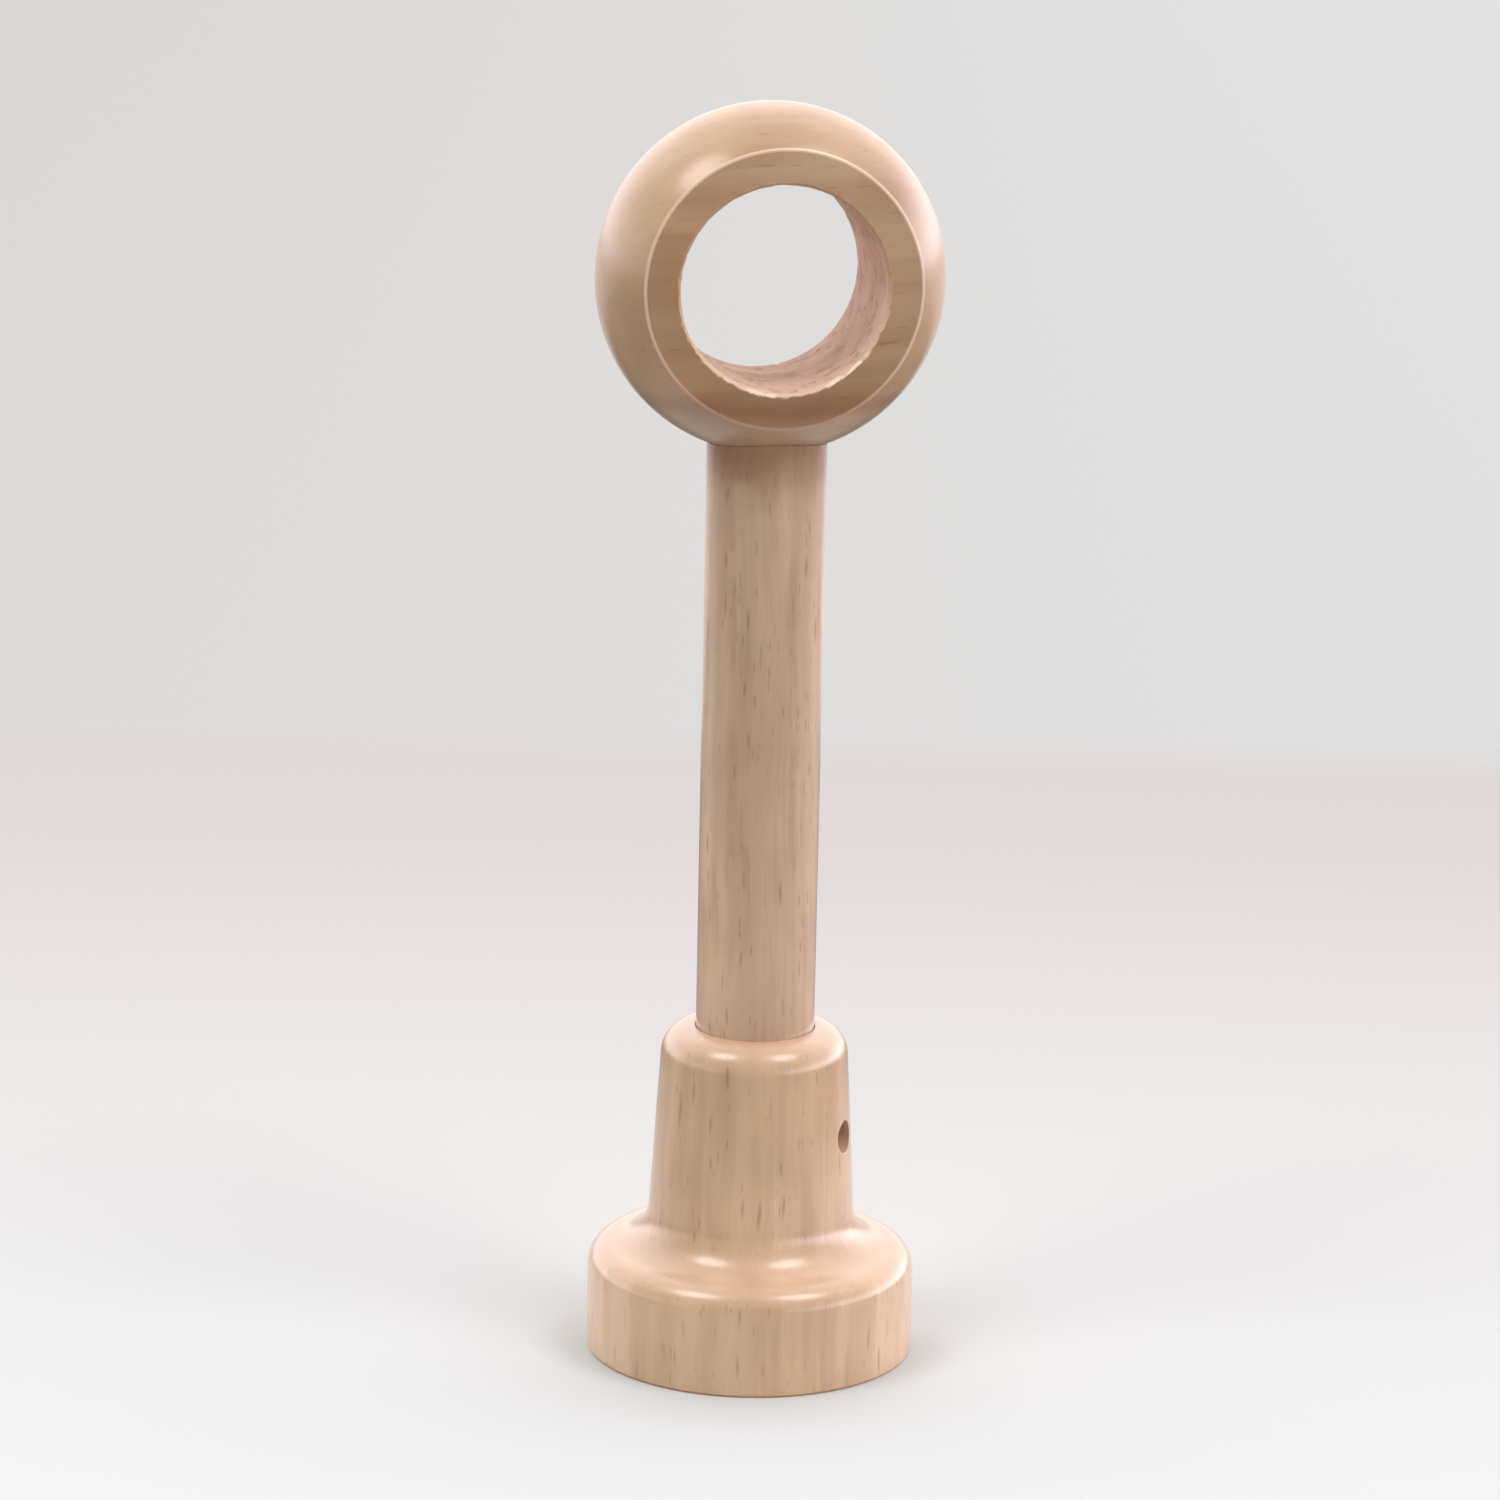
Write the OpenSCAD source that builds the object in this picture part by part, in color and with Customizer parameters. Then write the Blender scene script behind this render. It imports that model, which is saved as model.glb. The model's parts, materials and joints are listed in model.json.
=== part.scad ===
// Turned wooden curtain pole bracket: a flange base with a blind socket, a dowel
// stem that turns in the socket, a closed ring head glued to the stem, and a set
// screw in the side of the socket. Millimetres, +Z up the stem, origin at the
// centre of the flange's wall face. The pole runs through the ring along Y.

/* [Flange base] */
// Diameter of the wall flange
flange_d = 50; // [50:1:60]
// Height of the flange at its outer edge
flange_h = 16.5; // [16:0.5:20]
// Rounding of the flange's upper edge
flange_edge_r = 3.8; // [2:0.1:3.8]
// Rise of the shoulder towards the neck, in degrees
shoulder_angle = 5; // [2:1:8]
// Fillet between the shoulder and the neck
fillet_r = 6.3; // [4:0.1:6.3]
// Diameter of the neck just under its rounded rim
neck_d = 28.5; // [27.5:0.5:28.5]
// Taper of the neck on each side, in degrees
neck_taper = 3.5; // [1:0.5:3.5]
// Height of the base, wall face to rim
base_h = 51; // [48:1:52]
// Rounding of the socket's rim
rim_r = 4.5; // [3.5:0.5:4.5]

/* [Socket and wall screw] */
// Diameter of the socket that the stem turns in
socket_d = 18.2; // [18.1:0.1:18.2]
// Thickness of wood left under the socket
floor_t = 14; // [8:1:18]
// Diameter of the wall screw's hole
wall_hole_d = 5; // [4:0.5:6]
// Diameter of the wall screw's countersink
wall_sink_d = 10; // [8:0.5:12]

/* [Stem] */
// Diameter of the dowel
stem_d = 18; // [17.9:0.1:18]
// Gap under the stem's lower end
stem_gap = 1; // [0.5:0.5:3]
// Chamfer at the dowel's lower end and the tenon's tip
stem_chamfer = 0.8; // [0.4:0.2:1.2]
// Diameter of the tenon that holds the ring
tenon_d = 9; // [7:0.5:9]

/* [Ring head] */
// Outer diameter of the ring
ring_d = 52; // [50:1:54]
// Width of the ring along the pole
ring_w = 25; // [22:1:26]
// Outer diameter of its flat side faces
ring_face_d = 41; // [40:0.5:43]
// Diameter of the pole's hole
pole_hole_d = 30.5; // [29:0.5:31]
// Height of the pole's axis above the wall face
pole_axis_h = 165.5; // [120:0.5:200]
// Wood left between the tenon and the pole's hole
seat_wall = 3; // [2.5:0.25:5]
// Break of the edges of the pole's hole
ring_chamfer = 0.5; // [0.3:0.1:0.8]

/* [Set screw] */
// Diameter of the screw's hole through the neck
screw_hole_d = 5; // [4:0.5:6]
// Length of the screw
screw_l = 4; // [4:0.5:6]
// Height of the screw above the wall face
screw_h = 35; // [30:1:42]
// Direction of the screw about the stem, from +X
screw_angle = -30; // [-180:5:180]
// Key size of its hexagon socket
hex_af = 2.5; // [2:0.5:2.5]

/* [Hidden] */
$fn = 96;

through = 1;              // how far a cutter runs past the face it opens
base_chamfer = 0.4;       // break of the flange's lower edge
mouth_chamfer = 0.5;      // break of the socket's mouth
hex_depth = 2.2;
screw_clearance = 0.05;   // on the radius, and between the tip and the dowel
tip_chamfer = 0.7;

flange_r = flange_d / 2;
stem_r = stem_d / 2;
screw_r = screw_hole_d / 2 - screw_clearance;
stem_z0 = floor_t + stem_gap;
stem_z1 = pole_axis_h - pole_hole_d / 2 - seat_wall;   // top of the tenon

// Centres of the two convex roundings in the base's half outline, as [radius, height]
edge_c = [flange_r - flange_edge_r, flange_h - flange_edge_r];
rim_c = [neck_d / 2 - rim_r, base_h - rim_r];

// Outward unit normals of the neck's and the shoulder's straight lines
neck_n = [cos(neck_taper), sin(neck_taper)];
shoulder_n = [sin(shoulder_angle), cos(shoulder_angle)];

// Where two lines meet, each given by its unit normal and its distance from [0, 0]
function meet(n1, k1, n2, k2) =
    let (det = n1.x * n2.y - n1.y * n2.x)
    [(k1 * n2.y - k2 * n1.y) / det, (n1.x * k2 - n2.x * k1) / det];

neck_k = neck_n * rim_c + rim_r;
shoulder_k = shoulder_n * edge_c + flange_edge_r;
foot = meet(neck_n, neck_k, shoulder_n, shoulder_k);
fillet_c = meet(neck_n, neck_k + fillet_r, shoulder_n, shoulder_k + fillet_r);

// The ring's crown is one arc through its rim and the corners of its two faces
hole_r = pole_hole_d / 2;
face_r = ring_face_d / 2;
ring_r = ring_d / 2;
crown_c = (ring_r^2 - face_r^2 - (ring_w / 2)^2) / (2 * (ring_r - face_r));
crown_r = ring_r - crown_c;

// Half outline of the base, without its bores
module base_outline() {
    polygon([
        [0, 0],
        [flange_r - base_chamfer, 0],
        [flange_r, base_chamfer],
        [flange_r, edge_c.y],
        edge_c + flange_edge_r * shoulder_n,
        foot,
        rim_c + rim_r * neck_n,
        [rim_c.x, base_h],
        [0, base_h]
    ]);
    translate(edge_c) circle(flange_edge_r);
    translate(rim_c) circle(rim_r);
    difference() {
        polygon([
            foot,
            fillet_c - fillet_r * shoulder_n,
            fillet_c,
            fillet_c - fillet_r * neck_n
        ]);
        translate(fillet_c) circle(fillet_r);
    }
}

// Everything placed on the set screw's axis, +Z outwards and z = 0 on the stem's axis
module on_screw_axis() {
    translate([0, 0, screw_h]) rotate([0, 90, screw_angle]) children();
}

module flange_base() {
    sink_h = (wall_sink_d - wall_hole_d) / 2;
    color("burlywood") difference() {
        rotate_extrude() base_outline();
        translate([0, 0, floor_t]) cylinder(d = socket_d, h = base_h);
        translate([0, 0, base_h - mouth_chamfer])
            cylinder(d1 = socket_d, d2 = socket_d + 2 * (mouth_chamfer + through),
                     h = mouth_chamfer + through);
        translate([0, 0, -through]) cylinder(d = wall_hole_d, h = floor_t + 2 * through);
        translate([0, 0, floor_t - sink_h])
            cylinder(d1 = wall_hole_d, d2 = wall_sink_d, h = sink_h);
        on_screw_axis() cylinder(d = screw_hole_d, h = flange_r);
    }
}

// Everything placed on the pole's axis, its +Z along the pole
module on_pole_axis() {
    translate([0, 0, pole_axis_h]) rotate([90, 0, 0]) children();
}

// Half section of the ring: the crown's arc between two flat faces
module ring_outline() {
    intersection() {
        translate([crown_c, 0]) circle(crown_r);
        translate([hole_r, -ring_w / 2]) square([ring_r, ring_w]);
    }
}

// The dowel's upper end is hollowed to sit on the ring's crown, round a stub tenon
module stem() {
    color("tan") {
        difference() {
            translate([0, 0, stem_z0]) {
                cylinder(r1 = stem_r - stem_chamfer, r2 = stem_r, h = stem_chamfer);
                translate([0, 0, stem_chamfer])
                    cylinder(r = stem_r, h = stem_z1 - stem_z0 - stem_chamfer);
            }
            on_pole_axis() rotate_extrude() ring_outline();
        }
        translate([0, 0, stem_z0 + stem_chamfer])
            cylinder(d = tenon_d, h = stem_z1 - stem_z0 - 2 * stem_chamfer);
        translate([0, 0, stem_z1 - stem_chamfer])
            cylinder(r1 = tenon_d / 2, r2 = tenon_d / 2 - stem_chamfer, h = stem_chamfer);
    }
}

// The ring, with the edges of the pole's hole broken
module ring_head() {
    color("burlywood") difference() {
        on_pole_axis() rotate_extrude() difference() {
            ring_outline();
            for (side = [-1, 1])
                translate([hole_r, side * ring_w / 2]) rotate(45)
                    square(ring_chamfer * sqrt(2), center = true);
        }
        cylinder(d = tenon_d, h = stem_z1);
    }
}

module lock_screw() {
    tip = stem_r + screw_clearance;
    color("silver") on_screw_axis() translate([0, 0, tip]) difference() {
        union() {
            cylinder(r1 = screw_r - tip_chamfer, r2 = screw_r, h = tip_chamfer);
            translate([0, 0, tip_chamfer])
                cylinder(r = screw_r, h = screw_l - 1.5 * tip_chamfer);
            translate([0, 0, screw_l - tip_chamfer / 2])
                cylinder(r1 = screw_r, r2 = screw_r - tip_chamfer / 2, h = tip_chamfer / 2);
        }
        translate([0, 0, screw_l - hex_depth])
            cylinder(d = hex_af / cos(30), h = hex_depth + through, $fn = 6);
    }
}

flange_base();
stem();
ring_head();
lock_screw();
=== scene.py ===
import json
import math

import bmesh
import bpy
from mathutils import Matrix, Vector, noise


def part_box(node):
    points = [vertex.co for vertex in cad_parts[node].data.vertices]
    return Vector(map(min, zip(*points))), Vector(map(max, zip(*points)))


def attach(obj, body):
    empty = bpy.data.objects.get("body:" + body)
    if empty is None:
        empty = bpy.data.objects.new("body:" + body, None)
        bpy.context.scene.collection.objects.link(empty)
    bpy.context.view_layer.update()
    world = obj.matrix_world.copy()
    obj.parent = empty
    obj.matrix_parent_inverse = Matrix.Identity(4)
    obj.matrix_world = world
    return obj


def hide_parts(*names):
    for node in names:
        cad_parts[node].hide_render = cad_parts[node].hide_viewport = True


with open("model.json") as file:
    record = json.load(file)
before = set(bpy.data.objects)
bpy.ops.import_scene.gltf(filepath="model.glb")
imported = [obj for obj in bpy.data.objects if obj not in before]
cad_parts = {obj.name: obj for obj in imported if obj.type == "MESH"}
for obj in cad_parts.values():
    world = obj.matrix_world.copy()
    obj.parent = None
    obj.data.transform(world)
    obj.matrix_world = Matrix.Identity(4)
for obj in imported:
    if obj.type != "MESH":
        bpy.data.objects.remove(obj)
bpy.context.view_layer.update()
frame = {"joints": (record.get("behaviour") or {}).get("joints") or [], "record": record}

mm = 0.001
hair = 0.01 * mm  # tells the points of one surface from those of the next
turn = math.radians(-9.93)  # how far round the stem from the ring's front the camera stands

# sizes and places that come with the frame
mounts = {mount["name"]: mount for mount in frame["record"]["mounts"]}
joints = {joint["name"]: joint for joint in frame["joints"]}
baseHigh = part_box("flange_base")[1]
stemLow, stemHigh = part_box("stem")
ringLow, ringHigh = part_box("ring_head")
screwLow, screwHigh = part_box("lock_screw")
flangeR = baseHigh.x
baseTop = baseHigh.z
wallHoleR = mounts["wall_screw_hole"]["dims"]["r_mm"] * mm
wallHoleTop = mounts["wall_screw_hole"]["dims"]["length_mm"] * mm
stemR = stemHigh.x
poleZ = mounts["pole_bore"]["pos_m"][2]
poleHoleR = mounts["pole_bore"]["dims"]["r_mm"] * mm
ringHalfW = ringHigh.y
ringR = ringHigh.x
screwZ = (screwLow.z + screwHigh.z) / 2
screwAxis = Vector(joints["screw_travel"]["axis"])
screwTurn = math.atan2(screwAxis.y, screwAxis.x)
alongScrew = (Matrix.Translation((0, 0, screwZ)) @ Matrix.Rotation(screwTurn, 4, "Z")
              @ Matrix.Rotation(math.pi / 2, 4, "Y"))
alongPole = Matrix.Translation((0, 0, poleZ)) @ Matrix.Rotation(math.pi / 2, 4, "X")


def arc(centre, radius, start, end, steps):  # points of a circle, angles in degrees
    points = []
    for i in range(steps + 1):
        a = math.radians(start + (end - start) * i / steps)
        points.append((centre[0] + radius * math.cos(a), centre[1] + radius * math.sin(a)))
    return points


def withSteps(outline, longest):  # splits the long straight parts of a closed outline
    points = []
    for a, b in zip(outline, outline[1:] + outline[:1]):
        n = max(1, math.ceil(math.dist(a, b) / longest))
        points += [(a[0] + (b[0] - a[0]) * i / n, a[1] + (b[1] - a[1]) * i / n) for i in range(n)]
    return points


def meetingPoint(normalA, distA, normalB, distB):  # where two lines cross, by normal and distance
    det = normalA[0] * normalB[1] - normalA[1] * normalB[0]
    return ((distA * normalB[1] - distB * normalA[1]) / det,
            (normalA[0] * distB - normalB[0] * distA) / det)


def addObject(name, data):
    made = bpy.data.objects.new(name, data)
    bpy.context.scene.collection.objects.link(made)
    return made


def circleRow(radius, height, segments, shape=None):  # one circle of points about Z
    row = []
    for k in range(segments):
        a = 2 * math.pi * k / segments
        r, z = shape(radius, height, a) if shape else (radius, height)
        row.append((r * math.cos(a), r * math.sin(a), z))
    return row


def skinned(name, rows, place=Matrix.Identity(4), closed=False, sharpAngle=35):
    # joins rows of points into a solid; closed joins the last row to the first, else both ends get a face
    bm = bmesh.new()
    made = [[bm.verts.new(place @ Vector(point)) for point in row] for row in rows]
    pairs = list(zip(made, made[1:]))
    if closed:
        pairs.append((made[-1], made[0]))
    else:
        bm.faces.new(made[0][::-1])
        bm.faces.new(made[-1])
    for low, high in pairs:
        for k in range(len(low)):
            j = (k + 1) % len(low)
            bm.faces.new((low[k], low[j], high[j], high[k]))
    bmesh.ops.recalc_face_normals(bm, faces=bm.faces)
    mesh = bpy.data.meshes.new(name)
    bm.to_mesh(mesh)
    bm.free()
    piece = addObject(name, mesh)
    mesh.shade_smooth()
    mesh.set_sharp_from_angle(angle=math.radians(sharpAngle))
    return piece


def cutWith(piece, cutter, sharpAngle=35):  # takes the cutter's shape out of the piece
    cut = piece.modifiers.new("cut", "BOOLEAN")
    cut.operation = "DIFFERENCE"
    cut.solver = "EXACT"
    cut.object = cutter
    bpy.context.view_layer.update()
    shown = piece.evaluated_get(bpy.context.evaluated_depsgraph_get())
    mesh = bpy.data.meshes.new_from_object(shown)
    piece.modifiers.clear()
    piece.data = mesh
    bpy.data.objects.remove(cutter)
    mesh.shade_smooth()
    mesh.set_sharp_from_angle(angle=math.radians(sharpAngle))


seedSteps = (1, 3.1, 7.7)  # how far each seed moves the noise along X, Y and Z


def ripple(point, size, seed):  # smooth noise between about -1 and 1
    return noise.noise(Vector(point) / size + Vector([seed * step for step in seedSteps]))


def finish(piece, lacquered, bare=None, isBare=None):  # bare wood goes on the faces that isBare picks
    piece.data.materials.clear()
    piece.data.materials.append(lacquered)
    if bare:
        piece.data.materials.append(bare)
        for face in piece.data.polygons:
            face.material_index = int(isBare(face.center))


def addNode(tree, kind, inputs=None, **settings):
    made = tree.nodes.new(kind)
    for key, value in settings.items():
        setattr(made, key, value)
    for key, value in (inputs or {}).items():
        if isinstance(value, bpy.types.NodeSocket):
            tree.links.new(value, made.inputs[key])
        else:
            made.inputs[key].default_value = value
    return made


def linear(r, g, b):  # 0-255 screen colour to the linear colour that nodes use
    def one(c):
        c /= 255
        return c / 12.92 if c <= 0.04045 else ((c + 0.055) / 1.055) ** 2.4
    return (one(r), one(g), one(b), 1)


def mixColour(tree, factor, a, b, blend="MIX"):
    made = addNode(tree, "ShaderNodeMix", {0: factor, 6: a, 7: b}, data_type="RGBA", blend_type=blend)
    return made.outputs[2]


def remap(tree, value, low, high, toLow=0.0, toHigh=1.0, smooth=False):
    made = addNode(tree, "ShaderNodeMapRange",
                   {"Value": value, "From Min": low, "From Max": high, "To Min": toLow, "To Max": toHigh},
                   interpolation_type="SMOOTHSTEP" if smooth else "LINEAR")
    return made.outputs["Result"]


def maths(tree, operation, *values):
    made = addNode(tree, "ShaderNodeMath", dict(enumerate(values)), operation=operation)
    return made.outputs[0]


def hypotenuse(tree, a, b):
    return maths(tree, "SQRT", maths(tree, "ADD", maths(tree, "POWER", a, 2.0), maths(tree, "POWER", b, 2.0)))


def vectorMaths(tree, operation, a, b):
    made = addNode(tree, "ShaderNodeVectorMath", {0: a, 1: b}, operation=operation)
    return made.outputs["Value" if operation == "DOT_PRODUCT" else "Vector"]


def grey(tree, value):
    return addNode(tree, "ShaderNodeCombineColor", {0: value, 1: value, 2: value}).outputs[0]


def noiseAt(tree, place, size, detail=2.0, roughness=0.5):  # noise whose lumps are about size across
    made = addNode(tree, "ShaderNodeTexNoise",
                   {"Vector": place, "Scale": 1 / size, "Detail": detail, "Roughness": roughness})
    return made.outputs[0]


def newMaterial(name):
    material = bpy.data.materials.new(name)
    material.use_nodes = True
    tree = material.node_tree
    return material, tree, tree.nodes["Principled BSDF"]


def wireShader(tree, shader, colour, roughness, height, look):
    bump = addNode(tree, "ShaderNodeBump",
                   {"Height": height, "Strength": look["bump"], "Distance": look["bumpDistance"]})
    tree.links.new(colour, shader.inputs["Base Color"])
    tree.links.new(roughness, shader.inputs["Roughness"])
    tree.links.new(bump.outputs[0], shader.inputs["Normal"])


def objectPlace(tree):
    return addNode(tree, "ShaderNodeTexCoord").outputs["Object"]


def alongGrain(tree, place, look, along):  # squeezes the grain's direction, which draws patterns out along it
    scale = [1.0, 1.0, 1.0]
    scale[look["grainAxis"]] = 1.0 / along
    return vectorMaths(tree, "MULTIPLY", place, scale)


def grainPlace(tree, place, look):  # tilts the grain a little and lets it wander
    tilted = addNode(tree, "ShaderNodeVectorRotate", {"Vector": place, "Rotation": look["grainTilt"]},
                     rotation_type="EULER_XYZ").outputs[0]
    wander = addNode(tree, "ShaderNodeTexNoise", {"Vector": tilted, "Scale": 1 / look["wanderSize"],
                                                  "Detail": 1.0}).outputs["Color"]
    shift = addNode(tree, "ShaderNodeVectorMath",
                    {0: vectorMaths(tree, "SUBTRACT", wander, (0.5, 0.5, 0.5)), "Scale": look["wander"]},
                    operation="SCALE").outputs[0]
    return vectorMaths(tree, "ADD", tilted, shift)


poreFade = 0.7  # share of a pore's radius over which it darkens from its rim


def pores(tree, place, look, gap, along, radius, share):
    # short dark dashes along the grain: one in each cell of a lattice, in a share of the cells
    cells = addNode(tree, "ShaderNodeTexVoronoi",
                    {"Vector": alongGrain(tree, place, look, along), "Scale": 1 / gap}, feature="F1")
    chance = addNode(tree, "ShaderNodeSeparateColor", {0: cells.outputs["Color"]}).outputs["Red"]
    reach = remap(tree, chance, 1 - share, 1.0, 0.0, radius / gap)
    depth = maths(tree, "SUBTRACT", reach, cells.outputs["Distance"])
    return remap(tree, depth, 0.0, poreFade * radius / gap)


def sideGrain(tree, look):  # 1 where the surface runs along the grain, less where it cuts across the fibres
    normal = addNode(tree, "ShaderNodeTexCoord").outputs["Normal"]
    facing = addNode(tree, "ShaderNodeSeparateXYZ", {0: normal}).outputs[look["grainAxis"]]
    facing = maths(tree, "ABSOLUTE", facing)
    return remap(tree, facing, *look["endFacing"], 1.0, look["endGrain"], smooth=True)


def woodMaterial(name, look, extra=None):
    material, tree, shader = newMaterial(name)
    place = objectPlace(tree)
    grain = grainPlace(tree, place, look)
    clear = sideGrain(tree, look)
    # growth bands, which come down to one middle tone on end grain
    bands = noiseAt(tree, alongGrain(tree, grain, look, look["bandStretch"]), look["bandWidth"], detail=1.0)
    band = remap(tree, bands, *look["bandRange"], -0.5, 0.5, smooth=True)
    band = maths(tree, "MULTIPLY_ADD", band, clear, 0.5)
    colour = mixColour(tree, band, look["dark"], look["light"])
    # dark streaks in patches, and pale streaks between them
    streaks = noiseAt(tree, alongGrain(tree, grain, look, look["streakStretch"]), look["streakWidth"],
                      detail=2.0, roughness=0.6)
    patches = noiseAt(tree, alongGrain(tree, place, look, look["patchStretch"]), look["patchSize"],
                      detail=1.0)
    patch = remap(tree, patches, *look["patchRange"])
    streak = remap(tree, streaks, *look["streakRange"], 0.0, look["streakDepth"])
    streak = maths(tree, "MULTIPLY", maths(tree, "MULTIPLY", streak, patch), clear)
    colour = mixColour(tree, streak, colour, look["streakColour"])
    pale = remap(tree, streaks, *look["paleRange"], 0.0, look["paleDepth"])
    colour = mixColour(tree, maths(tree, "MULTIPLY", pale, clear), colour, look["paleColour"])
    end = remap(tree, clear, 1.0, look["endGrain"], 0.0, look["endDepth"])
    colour = mixColour(tree, end, colour, look["endColour"])
    # single fibres and slow blotches make the tone uneven
    fibres = noiseAt(tree, alongGrain(tree, grain, look, look["fibreStretch"]), look["fibreWidth"],
                     detail=3.0, roughness=0.6)
    tone = remap(tree, fibres, *look["toneRange"], 1 - look["fibreDepth"], 1 + look["fibreDepth"])
    blotch = noiseAt(tree, place, look["blotchSize"], detail=1.0)
    blotch = remap(tree, blotch, *look["toneRange"], 1 - look["blotchDepth"], 1 + look["blotchDepth"])
    tone = maths(tree, "MULTIPLY", tone, blotch)
    colour = mixColour(tree, 1.0, colour, grey(tree, tone), "MULTIPLY")
    # open pores of two sizes
    small = pores(tree, grain, look, *look["smallPores"])
    large = pores(tree, grain, look, *look["largePores"])
    pore = maths(tree, "MULTIPLY", maths(tree, "MAXIMUM", small, large), clear)
    colour = mixColour(tree, maths(tree, "MULTIPLY", pore, look["poreDepth"]), colour, look["poreColour"])
    rough = remap(tree, fibres, *look["toneRange"], look["roughness"] - look["roughnessSpread"],
                  look["roughness"] + look["roughnessSpread"])
    height = maths(tree, "MULTIPLY_ADD", pore, -1.0, maths(tree, "MULTIPLY", fibres, look["fibreHeight"]))
    if extra:
        colour, height = extra(tree, place, colour, height)
    wireShader(tree, shader, colour, rough, height, look)
    shader.inputs["IOR"].default_value = look["ior"]
    shader.inputs["Coat IOR"].default_value = look["coatIor"]
    shader.inputs["Coat Weight"].default_value = look["coat"]
    shader.inputs["Coat Roughness"].default_value = look["coatRoughness"]
    return material


cameraView = {
    "distance": 0.7914,
    "height": 0.2865,
    "pitch": 13.678,  # degrees, as are pan and roll
    "pan": -0.117,
    "roll": 1.181,
    "lens": 130.1,
    "sensorWidth": 36,
    "clipStart": 0.01,
}


def fromCamera(right, away, up):  # a place given as the camera sees it
    return Matrix.Rotation(turn, 3, "Z") @ Vector((right, away, up))


def makeCamera():
    data = bpy.data.cameras.new("camera")
    data.sensor_width = cameraView["sensorWidth"]
    data.lens = cameraView["lens"]
    data.clip_start = cameraView["clipStart"]
    camera = addObject("camera", data)
    facing = Matrix.Rotation(turn - math.radians(cameraView["pan"]), 4, "Z")
    facing = facing @ Matrix.Rotation(math.radians(90 - cameraView["pitch"]), 4, "X")
    facing = facing @ Matrix.Rotation(math.radians(cameraView["roll"]), 4, "Z")
    spot = fromCamera(0, -cameraView["distance"], cameraView["height"])
    camera.matrix_world = Matrix.Translation(spot) @ facing
    bpy.context.scene.camera = camera


table = {
    "halfSize": 6.0,
    "nearColour": linear(207, 212, 212),
    "midColour": linear(196, 192, 189),
    "nearToMid": (-0.12, 0.3),  # the table is painted paler near and greyer further back between these places, measured away from the camera: a painted falloff of the light
    # the backdrop beyond the table glows, painted darker on the left than on the right as a painted falloff
    # of the light
    "backLeft": linear(219, 216, 214),
    "backRight": linear(226, 226, 226),
    "leftToRight": (-0.3, 0.3),
    "depth": 0.386,  # from the stem to the table's far edge
    "edgeBlur": 0.02,
    "bounceNear": 0.68,  # how much light the table throws back close to the base
    "bounceFar": 0.12,
    "bounceReach": (0.07, 0.22),
}


def makeFloor():
    size = table["halfSize"]
    mesh = bpy.data.meshes.new("floor")
    corners = [(-size, -size, 0), (size, -size, 0), (size, size, 0), (-size, size, 0)]
    mesh.from_pydata(corners, [], [(0, 1, 2, 3)])
    floor = addObject("floor", mesh)
    floor.rotation_euler.z = turn
    material, tree, shader = newMaterial("tableTop")
    place = objectPlace(tree)
    split = addNode(tree, "ShaderNodeSeparateXYZ", {0: place})
    away = split.outputs["Y"]
    black = (0, 0, 0, 1)
    far = remap(tree, away, table["depth"] - table["edgeBlur"], table["depth"] + table["edgeBlur"],
                smooth=True)
    # painted falloff of the light: the paper is paler near the camera
    paperWithPaintedFalloff = mixColour(tree, remap(tree, away, *table["nearToMid"]), table["nearColour"], table["midColour"])
    seen = mixColour(tree, far, paperWithPaintedFalloff, black)
    out = addNode(tree, "ShaderNodeVectorMath", {0: place}, operation="LENGTH").outputs["Value"]
    bounce = remap(tree, out, *table["bounceReach"], table["bounceNear"], table["bounceFar"], smooth=True)
    direct = addNode(tree, "ShaderNodeLightPath").outputs["Is Camera Ray"]
    tree.links.new(mixColour(tree, direct, grey(tree, bounce), seen), shader.inputs["Base Color"])
    # painted falloff of the light across the glowing backdrop
    across = remap(tree, split.outputs["X"], *table["leftToRight"])
    back = mixColour(tree, across, table["backLeft"], table["backRight"])
    tree.links.new(mixColour(tree, far, black, back), shader.inputs["Emission Color"])
    shader.inputs["Emission Strength"].default_value = 1
    shader.inputs["Roughness"].default_value = 1
    shader.inputs["Specular IOR Level"].default_value = 0
    floor.data.materials.append(material)


studio = {
    "skyFront": (0.45, 0.445, 0.44, 1.0),
    "skyBack": (1.65, 1.59, 1.65, 1.0),
    "skyTurn": (-0.3, 0.7),  # from front to back, as the cosine of the angle to straight away
    "skyRight": (3.7, 3.35, 3.8, 1.0),  # added towards each side, low down
    "skyLeft": (1.1, 1.03, 1.07, 1.0),
    "skySideRise": (0.05, 0.45),
    "skySideTurn": (0.3, 0.95),
    "aim": Vector((0, 0, 0.08)),
    # name: right, away and up from the stem, diameter, watts, colour
    "lamps": {
        "leftLamp": ((-0.53, -0.3, 1.05), 0.5, 4.5, (1.0, 0.96, 0.94)),
        "rightLamp": ((0.50, -0.3, 1.05), 0.5, 4.4, (1.0, 0.95, 0.96)),
    },
}


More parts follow.
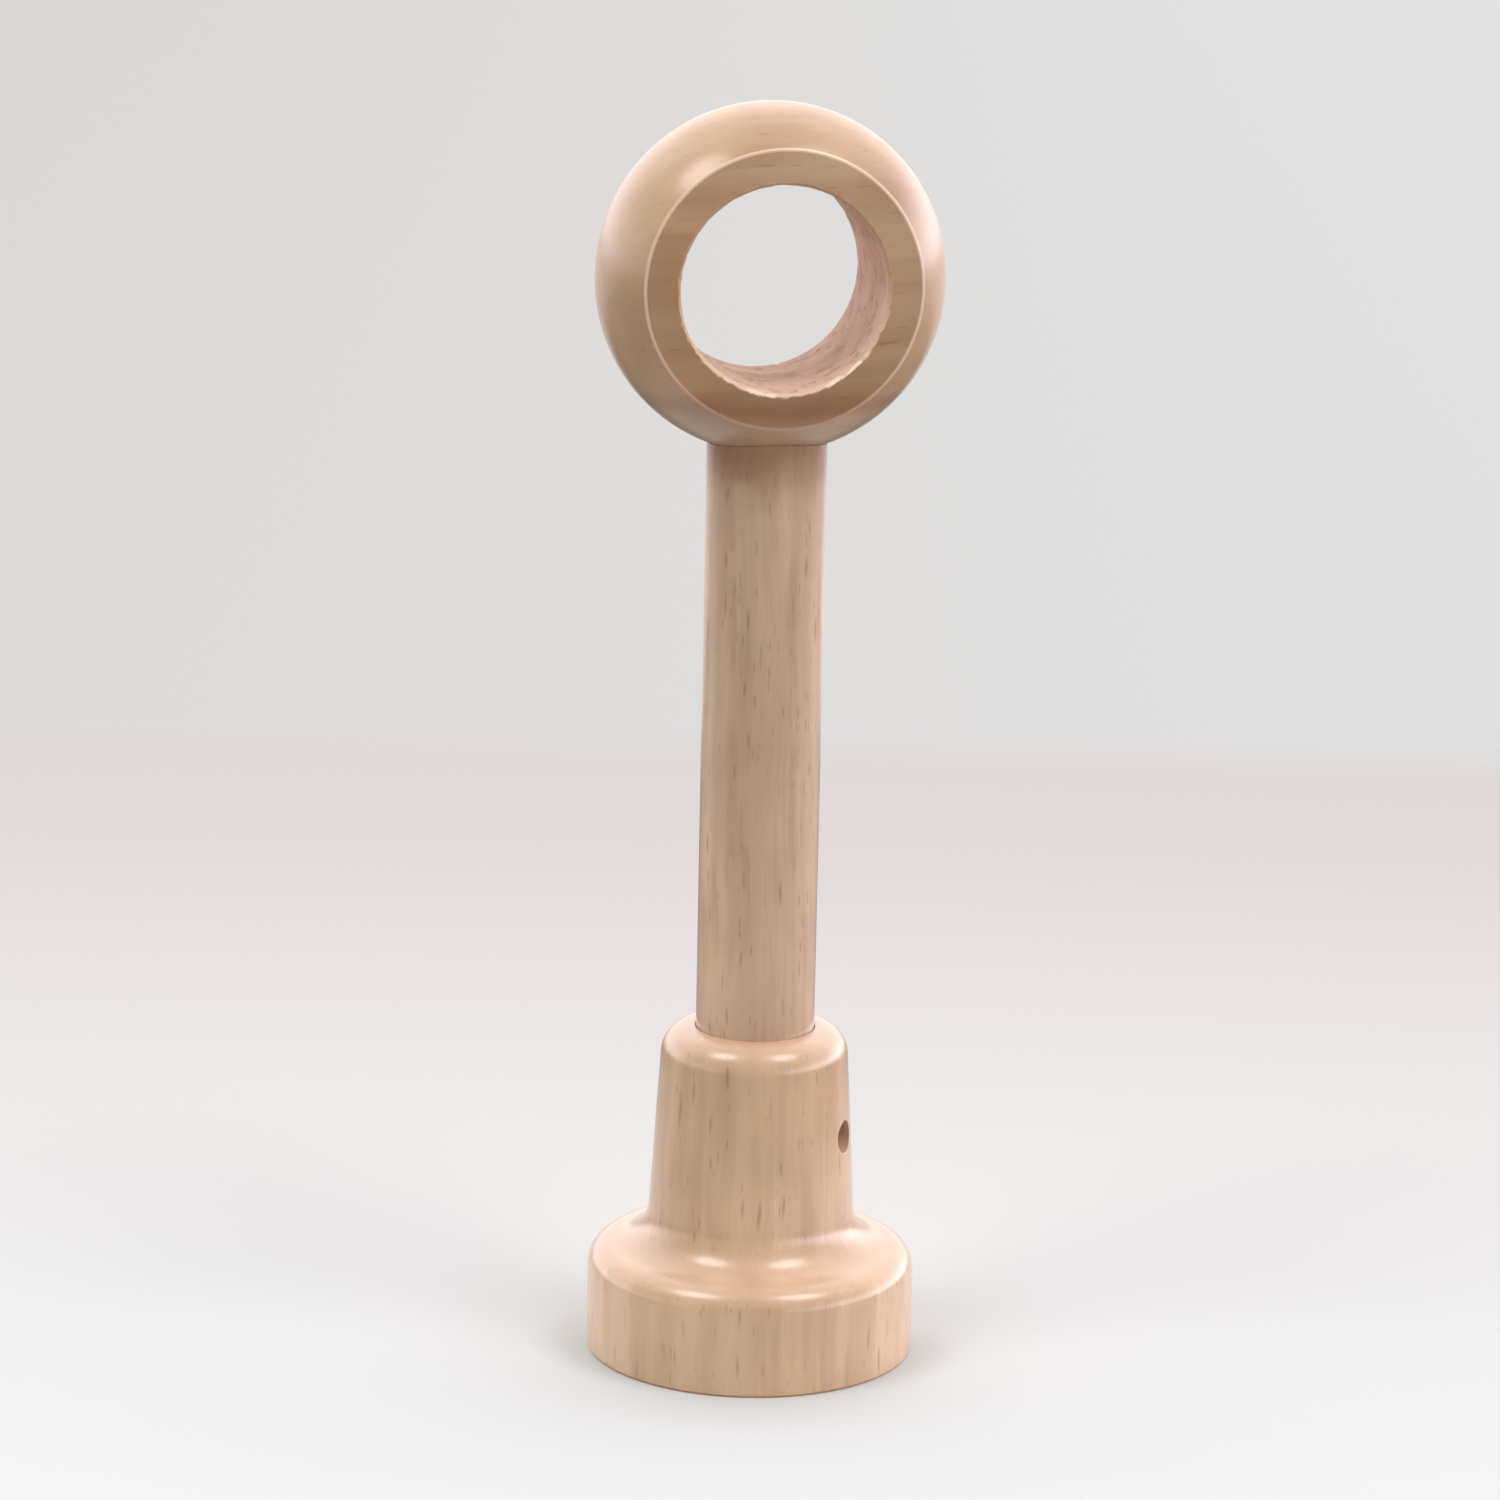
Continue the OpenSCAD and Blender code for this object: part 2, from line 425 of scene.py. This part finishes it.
def makeLight():
    world = bpy.data.worlds.new("studio")
    bpy.context.scene.world = world
    world.use_nodes = True
    tree = world.node_tree
    looking = addNode(tree, "ShaderNodeTexCoord").outputs["Generated"]
    away = vectorMaths(tree, "DOT_PRODUCT", looking, fromCamera(0, 1, 0))
    right = vectorMaths(tree, "DOT_PRODUCT", looking, fromCamera(1, 0, 0))
    behind = remap(tree, away, *studio["skyTurn"], smooth=True)
    sky = mixColour(tree, behind, studio["skyFront"], studio["skyBack"])
    rise = maths(tree, "ABSOLUTE", addNode(tree, "ShaderNodeSeparateXYZ", {0: looking}).outputs["Z"])
    low = remap(tree, rise, *studio["skySideRise"], 1.0, 0.0, smooth=True)
    begin, full = studio["skySideTurn"]
    rightSide = maths(tree, "MULTIPLY", low, remap(tree, right, begin, full, smooth=True))
    leftSide = maths(tree, "MULTIPLY", low, remap(tree, right, -begin, -full, smooth=True))
    sky = mixColour(tree, rightSide, sky, studio["skyRight"], "ADD")
    sky = mixColour(tree, leftSide, sky, studio["skyLeft"], "ADD")
    tree.links.new(sky, tree.nodes["Background"].inputs["Color"])
    for name, (spot, size, watts, colour) in studio["lamps"].items():
        data = bpy.data.lights.new(name, "AREA")
        data.shape = "DISK"
        data.size = size
        data.energy = watts
        data.color = colour
        lamp = addObject(name, data)
        lamp.location = fromCamera(*spot)
        lamp.rotation_euler = (studio["aim"] - lamp.location).to_track_quat("-Z", "Y").to_euler()
    bpy.context.scene.view_settings.view_transform = "Standard"


makeCamera()
makeFloor()
makeLight()
print("stage made")

baseShape = {
    "flangeH": 16.5 * mm,
    "edgeR": 3.8 * mm,
    "shoulder": 5,  # degrees
    "fillet": 6.3 * mm,
    "neckD": 28.5 * mm,
    "taper": 3.5,  # degrees
    "rimR": 4.5 * mm,
    "rimEnd": 88,  # degrees
    "footBreak": 0.4 * mm,
    "socketR": 9.05 * mm,
    "socketFloor": 14 * mm,
    "mouthR": 0.25 * mm,
    "sinkR": 5 * mm,
    "screwHoleR": 2.5 * mm,
    "screwHoleBreak": 0.1 * mm,
    "waviness": 0.025 * mm,
    "wavinessSize": 7 * mm,
    "wavinessSeed": 1,
    "bareMargin": 0.02 * mm,
    "edgeSteps": 20,
    "filletSteps": 24,
    "rimSteps": 22,
    "mouthSteps": 8,
    "rowGap": 1.2 * mm,
    "segments": 288,
}

baseWood = {
    "light": linear(203, 170, 133),
    "dark": linear(191, 156, 118),
    "paleColour": linear(224, 192, 158),
    "streakColour": linear(172, 133, 94),
    "poreColour": linear(152, 112, 77),
    "grainAxis": 2,
    "grainTilt": (0.03, -0.02, 0.4),
    "wander": 2.0 * mm,
    "wanderSize": 16 * mm,
    # a stretch is how many times longer than wide a pattern is, a range the part of the noise that shows
    "bandWidth": 6 * mm,
    "bandStretch": 9,
    "bandRange": (0.38, 0.62),
    "streakWidth": 1.9 * mm,
    "streakStretch": 28,
    "streakRange": (0.44, 0.7),
    "streakDepth": 0.34,
    "paleRange": (0.4, 0.28),
    "paleDepth": 0.34,
    "patchSize": 9 * mm,  # streaks come and go in patches of this size
    "patchStretch": 2,
    "patchRange": (0.35, 0.6),
    "fibreWidth": 0.6 * mm,
    "fibreStretch": 30,
    "fibreDepth": 0.025,
    "fibreHeight": 0.3,
    "blotchSize": 13 * mm,
    "blotchDepth": 0.06,
    "toneRange": (0.3, 0.7),
    "endFacing": (0.15, 0.9),  # how squarely a surface cuts the grain, from side grain to end grain
    "endGrain": 0.3,  # how much of the bands and streaks shows on end grain
    "endColour": linear(220, 178, 152),
    "endDepth": 0.34,
    # lattice gap, stretch along the grain, radius, share of cells with a pore
    "smallPores": (0.6 * mm, 8, 0.2 * mm, 0.65),
    "largePores": (1.1 * mm, 8, 0.4 * mm, 0.7),
    "poreDepth": 0.64,
    "roughness": 0.45,
    "roughnessSpread": 0.05,
    "bump": 0.3,
    "bumpDistance": 0.1 * mm,
    "ior": 1.4,
    "coat": 1.0,
    "coatIor": 1.6,
    "coatRoughness": 0.23,
}

bareWood = dict(baseWood, **{  # drilled holes and the wall face have no lacquer
    "light": linear(200, 164, 136),
    "dark": linear(182, 144, 116),
    "poreDepth": 0.7,
    "roughness": 0.8,
    "bump": 0.6,
    "coat": 0.0,
})


def neckLine(s):  # the neck's slanting side, by its normal and its distance from the axis
    normal = (math.cos(math.radians(s["taper"])), math.sin(math.radians(s["taper"])))
    rim = (s["neckD"] / 2 - s["rimR"], baseTop - s["rimR"])
    return normal, normal[0] * rim[0] + normal[1] * rim[1] + s["rimR"]


def baseOutline(s):
    edge = (flangeR - s["edgeR"], s["flangeH"] - s["edgeR"])
    rim = (s["neckD"] / 2 - s["rimR"], baseTop - s["rimR"])
    mouth = (s["socketR"] + s["mouthR"], baseTop - s["mouthR"])
    shoulderNormal = (math.sin(math.radians(s["shoulder"])), math.cos(math.radians(s["shoulder"])))
    shoulderDist = shoulderNormal[0] * edge[0] + shoulderNormal[1] * edge[1] + s["edgeR"]
    neckNormal, neckDist = neckLine(s)
    fillet = meetingPoint(neckNormal, neckDist + s["fillet"], shoulderNormal, shoulderDist + s["fillet"])
    outline = [(wallHoleR, 0), (flangeR - s["footBreak"], 0), (flangeR, s["footBreak"])]
    outline += arc(edge, s["edgeR"], 0, 90 - s["shoulder"], s["edgeSteps"])
    outline += arc(fillet, s["fillet"], 270 - s["shoulder"], 180 + s["taper"], s["filletSteps"])
    outline += arc(rim, s["rimR"], s["taper"], s["rimEnd"], s["rimSteps"])
    outline += arc(mouth, s["mouthR"], 90, 180, s["mouthSteps"])
    outline += [(s["socketR"], s["socketFloor"]), (s["sinkR"], s["socketFloor"]), (wallHoleR, wallHoleTop)]
    return outline


def screwHoleCutter(s):  # a straight hole whose mouth is broken all round where it leaves the neck
    steps = 96
    neckNormal, neckDist = neckLine(s)

    def row(radius, past):
        points = []
        for k in range(steps):
            a = 2 * math.pi * k / steps
            x, y = radius * math.cos(a), radius * math.sin(a)
            neckR = (neckDist - neckNormal[1] * (screwZ - x)) / neckNormal[0]
            points.append((x, y, math.sqrt(neckR ** 2 - y ** 2) + past))
        return points

    r = s["screwHoleR"]
    cut = s["screwHoleBreak"]
    wide = r + 2 * cut
    rows = [circleRow(r, 0, steps), row(r, -cut), row(wide, cut), circleRow(wide, flangeR, steps)]
    return skinned("cutter", rows, alongScrew)


def makeBase():
    s = baseShape

    def shape(r, z, a):
        if r > s["socketR"] + s["mouthR"] and z > s["footBreak"]:
            spot = (r * math.cos(a), r * math.sin(a), z)
            r += s["waviness"] * ripple(spot, s["wavinessSize"], s["wavinessSeed"])
        return r, z

    def isBare(centre):
        r = math.hypot(centre.x, centre.y)
        acrossScrew = (alongScrew.inverted() @ centre).xy.length
        inSideHole = acrossScrew < s["screwHoleR"] + s["bareMargin"] and centre.dot(screwAxis) > 0
        return r < s["socketR"] + s["bareMargin"] or centre.z < hair or inSideHole

    rows = [circleRow(r, z, s["segments"], shape) for r, z in withSteps(baseOutline(s), s["rowGap"])]
    piece = skinned("flangeBase", rows, closed=True)
    cutWith(piece, screwHoleCutter(s))
    finish(piece, woodMaterial("flangeWood", baseWood), woodMaterial("flangeBareWood", bareWood), isBare)
    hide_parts("flange_base")
    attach(piece, "base")
    print("flange base made")


makeBase()

# the ring's crown is one arc through its rim and the corners of its two faces
ringShape = {
    "faceR": 20.5 * mm,
    "arrisR": 0.5 * mm,  # worn corner between face and crown
    "holeBreak": 0.45 * mm,
    "holeBreakWander": 0.14 * mm,
    "holeBreakSize": 1.1 * mm,
    "holeBreakSeed": 5,
    "tenonR": 4.5 * mm,
    "tornDepth": 0.2 * mm,
    "tornSize": 1.3 * mm,
    "tornFrom": 0.1,  # the noise above this is torn out
    "tornSeed": 3,
    "arrisSteps": 4,
    "crownSteps": 48,
    "rowGap": 0.5 * mm,
    "segments": 448,
}
crownC = (ringR ** 2 - ringShape["faceR"] ** 2 - ringHalfW ** 2) / (2 * (ringR - ringShape["faceR"]))
crownR = ringR - crownC

ringWood = dict(baseWood, **{
    "light": linear(202, 168, 129),
    "dark": linear(190, 153, 114),
    "streakColour": linear(169, 130, 91),
    "poreColour": linear(138, 99, 66),
    "grainAxis": 0,
    "grainTilt": (0.5, 0.05, 0.05),
    "streakDepth": 0.25,
    "paleDepth": 0.15,
    "endDepth": 0.0,
    "fibreDepth": 0.015,
    "poreDepth": 0.35,
    "coat": 0.8,
    "coatRoughness": 0.25,
})

ringMarks = {
    "unevenSize": 14 * mm,
    "faceStart": (0.3 * mm, 0.05 * mm),  # the face's own tones come in between these depths under it
    "heart": (0.78, 0.70, 0.61, 1),  # the ring is darker towards the lower left
    "heartAcross": Vector((0.45, 0, 0.9)),
    "heartReach": 17 * mm,
    "heartUneven": 12 * mm,
    "heartOnCrown": 0.25,
    "ripe": (0.78, 0.73, 0.70, 1),  # painted shade: the upper right of the crown, next to each face, is painted darker too
    "ripeAcross": Vector((0.5, 0, 0.87)),
    "ripeRise": (7 * mm, 20 * mm),
    "ripeSide": (3 * mm, 9 * mm),
    "faceTop": 1.05,  # the side faces are painted paler at the top than at the bottom, as painted light and shade
    "faceBottom": 0.87,
    "faceRise": (-20 * mm, 20 * mm),
    # painted shade on the lower crown
    "crownBottom": 0.82,
    "crownRise": (-24 * mm, -10 * mm),
    "vein": (0.85, 0.75, 0.69, 1),  # a darker growth line low across the ring
    "veinDown": 17.6 * mm,
    "veinHalfW": 2.4 * mm,
    "veinCore": 0.2 * mm,
    "veinSwing": 4 * mm,
    "arrisLine": (0.34 * mm, 0.2 * mm),
    "arrisColour": linear(246, 214, 184),
    "arrisDepth": 0.75,
    "arrisFade": 0.4,  # how much of the worn line shows at the bottom, where it is painted fainter as painted shade
    "arrisRise": (-19 * mm, -10 * mm),
    "chipped": 0.6,  # raw wood shows where the pole's hole has chipped at its edges
    "chippedTop": 0.15,
    "chipReach": 0.5 * mm,
    "chipSoftness": 0.1 * mm,
    "chipSize": 1.2 * mm,
    "chipRise": (-9 * mm, 4 * mm),  # the chips thin out between these heights
}

ringBareWood = dict(ringWood, **{  # the pole's hole is left as the cutter tore it
    "light": linear(222, 192, 172),
    "dark": linear(206, 172, 152),
    "streakColour": linear(178, 140, 120),
    "poreColour": linear(126, 92, 78),
    "bandWidth": 4 * mm,
    "streakWidth": 1.8 * mm,
    "smallPores": (1.3 * mm, 4, 0.22 * mm, 0.2),
    "largePores": (2.6 * mm, 4, 0.42 * mm, 0.35),
    "poreDepth": 0.4,
    "roughness": 0.85,
    "bump": 0.8,
    "coat": 0.0,
})

tornWood = {
    "pitSize": 2.4 * mm,
    "pitRange": (0.52, 0.64),
    "pitColour": (0.86, 0.80, 0.78, 1),
    "cutAcross": {"grainAxis": 1},  # short cracks that run along the pole
    "cracks": (2.3 * mm, 3, 0.5 * mm, 0.4),
    "crackColour": linear(122, 88, 74),
    "crackDepth": 0.5,
    "tornHeight": 1.5,
}


def tornTones(tree, place, colour, height):
    pits = noiseAt(tree, place, tornWood["pitSize"], detail=3.0, roughness=0.6)
    pit = remap(tree, pits, *tornWood["pitRange"], smooth=True)
    colour = mixColour(tree, pit, colour, tornWood["pitColour"], "MULTIPLY")
    crack = pores(tree, place, tornWood["cutAcross"], *tornWood["cracks"])
    dark = maths(tree, "MULTIPLY", crack, tornWood["crackDepth"])
    colour = mixColour(tree, dark, colour, tornWood["crackColour"])
    torn = maths(tree, "MULTIPLY", maths(tree, "ADD", pit, crack), tornWood["tornHeight"])
    return colour, maths(tree, "SUBTRACT", height, torn)


def crownHeight(x, y):  # height of the crown's underside above a point of the stem's section
    out = crownC + math.sqrt(crownR ** 2 - y * y)
    return poleZ - math.sqrt(out * out - x * x)


def ringTones(tree, place, colour, height):
    marks = ringMarks
    low = vectorMaths(tree, "SUBTRACT", place, (0, 0, poleZ))
    split = addNode(tree, "ShaderNodeSeparateXYZ", {0: low})
    across = split.outputs["X"]
    rise = split.outputs["Z"]
    side = maths(tree, "ABSOLUTE", split.outputs["Y"])
    out = hypotenuse(tree, across, rise)
    uneven = maths(tree, "SUBTRACT", noiseAt(tree, place, marks["unevenSize"], detail=1.0), 0.5)
    begin, full = marks["faceStart"]
    onFace = remap(tree, side, ringHalfW - begin, ringHalfW - full)
    # darker towards the lower left
    slant = vectorMaths(tree, "DOT_PRODUCT", low, marks["heartAcross"])
    slant = maths(tree, "MULTIPLY_ADD", uneven, marks["heartUneven"], slant)
    heart = remap(tree, slant, marks["heartReach"], -marks["heartReach"])
    heart = maths(tree, "MULTIPLY", heart, remap(tree, onFace, 0.0, 1.0, marks["heartOnCrown"], 1.0))
    colour = mixColour(tree, heart, colour, marks["heart"], "MULTIPLY")
    # painted shade at the upper right of the crown
    slant = vectorMaths(tree, "DOT_PRODUCT", low, marks["ripeAcross"])
    ripe = maths(tree, "MULTIPLY", remap(tree, slant, *marks["ripeRise"], smooth=True),
                 remap(tree, side, *marks["ripeSide"], smooth=True))
    ripe = maths(tree, "MULTIPLY", ripe, maths(tree, "SUBTRACT", 1.0, onFace))
    colour = mixColour(tree, ripe, colour, marks["ripe"], "MULTIPLY")
    # the growth line low across the ring
    swing = maths(tree, "MULTIPLY_ADD", uneven, marks["veinSwing"], rise)
    fromVein = maths(tree, "ABSOLUTE", maths(tree, "ADD", swing, marks["veinDown"]))
    vein = remap(tree, fromVein, marks["veinHalfW"], marks["veinCore"], smooth=True)
    colour = mixColour(tree, vein, colour, marks["vein"], "MULTIPLY")
    # painted shade: both faces and the crown are painted darker towards the bottom
    faceTone = remap(tree, rise, *marks["faceRise"], marks["faceBottom"], marks["faceTop"])
    crownTone = remap(tree, rise, *marks["crownRise"], marks["crownBottom"], 1.0)
    tone = mixColour(tree, onFace, grey(tree, crownTone), grey(tree, faceTone))
    colour = mixColour(tree, 1.0, colour, tone, "MULTIPLY")
    # the paler worn line round each face is wear, painted fainter towards the bottom as painted shade
    fromArris = hypotenuse(tree, maths(tree, "SUBTRACT", out, ringShape["faceR"]),
                           maths(tree, "SUBTRACT", side, ringHalfW))
    worn = remap(tree, fromArris, *marks["arrisLine"], 0.0, marks["arrisDepth"])
    fade = remap(tree, rise, *marks["arrisRise"], marks["arrisFade"], 1.0)
    colour = mixColour(tree, maths(tree, "MULTIPLY", worn, fade), colour, marks["arrisColour"])
    # chips along the edges of the pole's hole
    jagged = maths(tree, "SUBTRACT", noiseAt(tree, place, marks["chipSize"], detail=2.0), 0.5)
    chip = maths(tree, "MULTIPLY_ADD", jagged, marks["chipSize"], maths(tree, "SUBTRACT", out, poleHoleR))
    chip = remap(tree, chip, marks["chipReach"] + marks["chipSoftness"],
                 marks["chipReach"] - marks["chipSoftness"])
    amount = remap(tree, rise, *marks["chipRise"], marks["chipped"], marks["chippedTop"])
    return mixColour(tree, maths(tree, "MULTIPLY", chip, amount), colour, marks["arrisColour"]), height


def ringOutline(s):  # points of (radius, place along the pole), one half of the ring's section
    half = ringHalfW
    inset = math.sqrt((crownR - s["arrisR"]) ** 2 - (half - s["arrisR"]) ** 2)
    slope = math.degrees(math.atan2(half - s["arrisR"], inset))
    outline = [(poleHoleR, -half + s["holeBreak"]), (poleHoleR + s["holeBreak"], -half)]
    outline += arc((crownC + inset, -half + s["arrisR"]), s["arrisR"], -90, -slope, s["arrisSteps"])
    outline += arc((crownC, 0), crownR, -slope, slope, s["crownSteps"])
    outline += arc((crownC + inset, half - s["arrisR"]), s["arrisR"], slope, 90, s["arrisSteps"])
    outline += [(poleHoleR + s["holeBreak"], half), (poleHoleR, half - s["holeBreak"])]
    return outline


def makeRing():
    s = ringShape

    def shape(r, z, a):
        spot = (r * math.cos(a), r * math.sin(a), z)
        if r < poleHoleR + hair:
            torn = max(0.0, ripple(spot, s["tornSize"], s["tornSeed"]) - s["tornFrom"])
            r += s["tornDepth"] * torn
        elif r < poleHoleR + s["holeBreak"] + hair:
            r += s["holeBreakWander"] * ripple(spot, s["holeBreakSize"], s["holeBreakSeed"])
        return r, z

    rows = [circleRow(r, z, s["segments"], shape) for r, z in withSteps(ringOutline(s), s["rowGap"])]
    piece = skinned("ringHead", rows, alongPole, closed=True)
    steps = 96
    tenonHole = [circleRow(s["tenonR"], -stemHigh.z, steps), circleRow(s["tenonR"], stemHigh.z, steps)]
    cutWith(piece, skinned("cutter", tenonHole))

    def isBare(centre):
        fromPole = math.hypot(centre.x, centre.z - poleZ)
        inTenonHole = centre.z < poleZ and math.hypot(centre.x, centre.y) < s["tenonR"] + hair
        inBore = fromPole < poleHoleR + s["tornDepth"] and abs(centre.y) < ringHalfW - s["holeBreak"]
        return inBore or inTenonHole

    bored = woodMaterial("ringBareWood", ringBareWood, tornTones)
    finish(piece, woodMaterial("ringWood", ringWood, ringTones), bored, isBare)
    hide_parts("ring_head")
    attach(piece, "arm")
    print("ring head made")


makeRing()

stemShape = {
    "footBreak": 0.8 * mm,
    "tipBreak": 0.8 * mm,
    "edgeBreak": 0.1 * mm,
    "waviness": 0.02 * mm,
    "wavinessSize": 8 * mm,
    "wavinessSeed": 2,
    "segments": 192,
    "rows": 96,
    "seatRows": 6,
}

stemWood = dict(baseWood, **{
    "light": linear(210, 182, 152),
    "dark": linear(200, 169, 138),
    "streakColour": linear(177, 144, 111),
    "poreColour": linear(148, 114, 84),
    "grainTilt": (-0.02, 0.015, 1.3),
    "streakWidth": 1.3 * mm,
    "streakDepth": 0.55,
    "paleDepth": 0.25,
    "patchSize": 6 * mm,
    "smallPores": (0.55 * mm, 8, 0.2 * mm, 0.75),
    "largePores": (0.95 * mm, 7, 0.36 * mm, 0.8),
    "poreDepth": 0.6,
    "roughness": 0.5,
    "coat": 0.95,
    "coatRoughness": 0.2,
})

stemMarks = {
    "topStain": (0.68, 0.54, 0.43, 1),  # painted shade: the last stretch under the ring is painted darker
    "stainReach": 9 * mm,
    "stainUneven": 6 * mm,
    "stainTop": 0.8 * mm,  # above the ring's lowest point
}


def stemTones(tree, place, colour, height):
    z = addNode(tree, "ShaderNodeSeparateXYZ", {0: place}).outputs["Z"]
    top = ringLow.z + stemMarks["stainTop"]
    uneven = maths(tree, "SUBTRACT", noiseAt(tree, place, stemMarks["stainUneven"], detail=1.0), 0.5)
    z = maths(tree, "MULTIPLY_ADD", uneven, stemMarks["stainUneven"], z)
    # painted shade under the ring darkens the top of the stem
    stain = remap(tree, z, top - stemMarks["stainReach"], top, smooth=True)
    return mixColour(tree, stain, colour, stemMarks["topStain"], "MULTIPLY"), height


def makeStem():
    s = stemShape
    tenonR = ringShape["tenonR"]
    inner = stemR - s["edgeBreak"]
    foot = stemLow.z + s["footBreak"]
    rows = [circleRow(stemR - s["footBreak"], stemLow.z, s["segments"])]

    def side(share):  # one row of the dowel's side, part of the way from its foot up to the crown
        def shape(r, z, a):
            x, y = r * math.cos(a), r * math.sin(a)
            z = foot + (crownHeight(x, y) - s["edgeBreak"] - foot) * share
            if 0 < share < 1:
                r += s["waviness"] * ripple((x, y, z), s["wavinessSize"], s["wavinessSeed"])
            return r, z
        return circleRow(stemR, 0, s["segments"], shape)

    def seat(r, z, a):  # a point of the hollow end that fits the crown
        return r, crownHeight(r * math.cos(a), r * math.sin(a))

    rows += [side(i / s["rows"]) for i in range(s["rows"] + 1)]
    for i in range(s["seatRows"] + 1):
        rows.append(circleRow(inner + (tenonR - inner) * i / s["seatRows"], 0, s["segments"], seat))
    rows.append(circleRow(tenonR, stemHigh.z - s["tipBreak"], s["segments"]))
    rows.append(circleRow(tenonR - s["tipBreak"], stemHigh.z, s["segments"]))
    piece = skinned("dowelStem", rows, sharpAngle=30)
    finish(piece, woodMaterial("stemWood", stemWood, stemTones))
    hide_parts("stem")
    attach(piece, "arm")
    print("stem made")


makeStem()

screwShape = {
    "start": stemR + 0.05 * mm,
    "length": 4 * mm,
    "radius": 2.45 * mm,
    "threadDepth": 0.42 * mm,
    "threadCrest": 0.12,  # shares of half a pitch
    "threadFlank": 0.76,
    "pitch": 0.8 * mm,
    "tipBreak": 0.7 * mm,
    "endBreak": 0.3 * mm,
    "keyR": 1.44 * mm,
    "keySides": 6,
    "keyDepth": 2.2 * mm,
    "segments": 96,
    "rows": 96,
    "sharpAngle": 25,
}

screwSteel = {
    "clean": linear(176, 158, 134),
    "dull": linear(138, 118, 96),
    "stainSize": 1.1 * mm,
    "stainRange": (0.4, 0.62),
    "roughness": (0.4, 0.62),
    "roughnessRange": (0.35, 0.65),
    "metallic": 0.85,
    "bumpSize": 0.2 * mm,
    "bumpDistance": 0.04 * mm,
    "bump": 0.2,
}


def screwMaterial():
    material, tree, shader = newMaterial("screwSteel")
    place = objectPlace(tree)
    stain = noiseAt(tree, place, screwSteel["stainSize"], detail=4.0)
    clean = remap(tree, stain, *screwSteel["stainRange"])
    colour = mixColour(tree, clean, screwSteel["dull"], screwSteel["clean"])
    rough = remap(tree, stain, *screwSteel["roughnessRange"], *screwSteel["roughness"])
    wireShader(tree, shader, colour, rough, noiseAt(tree, place, screwSteel["bumpSize"]), screwSteel)
    shader.inputs["Metallic"].default_value = screwSteel["metallic"]
    return material


def makeScrew():
    s = screwShape

    def thread(r, h, a):
        tooth = abs((h / s["pitch"] - a / (2 * math.pi)) % 1.0 - 0.5) * 2
        r -= s["threadDepth"] * min(1.0, max(0.0, (tooth - s["threadCrest"]) / s["threadFlank"]))
        r = min(r, s["radius"] - s["tipBreak"] + h, s["radius"] - s["endBreak"] + s["length"] - h)
        return r, s["start"] + h

    heights = [s["length"] * i / s["rows"] for i in range(s["rows"] + 1)]
    rows = [circleRow(s["radius"], height, s["segments"], thread) for height in heights]
    piece = skinned("lockScrew", rows, alongScrew, sharpAngle=s["sharpAngle"])
    end = s["start"] + s["length"]
    key = [circleRow(s["keyR"], end + past, s["keySides"]) for past in (-s["keyDepth"], s["keyDepth"])]
    cutWith(piece, skinned("cutter", key, alongScrew), s["sharpAngle"])
    finish(piece, screwMaterial())
    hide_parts("lock_screw")
    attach(piece, "set_screw")
    print("set screw made")


makeScrew()
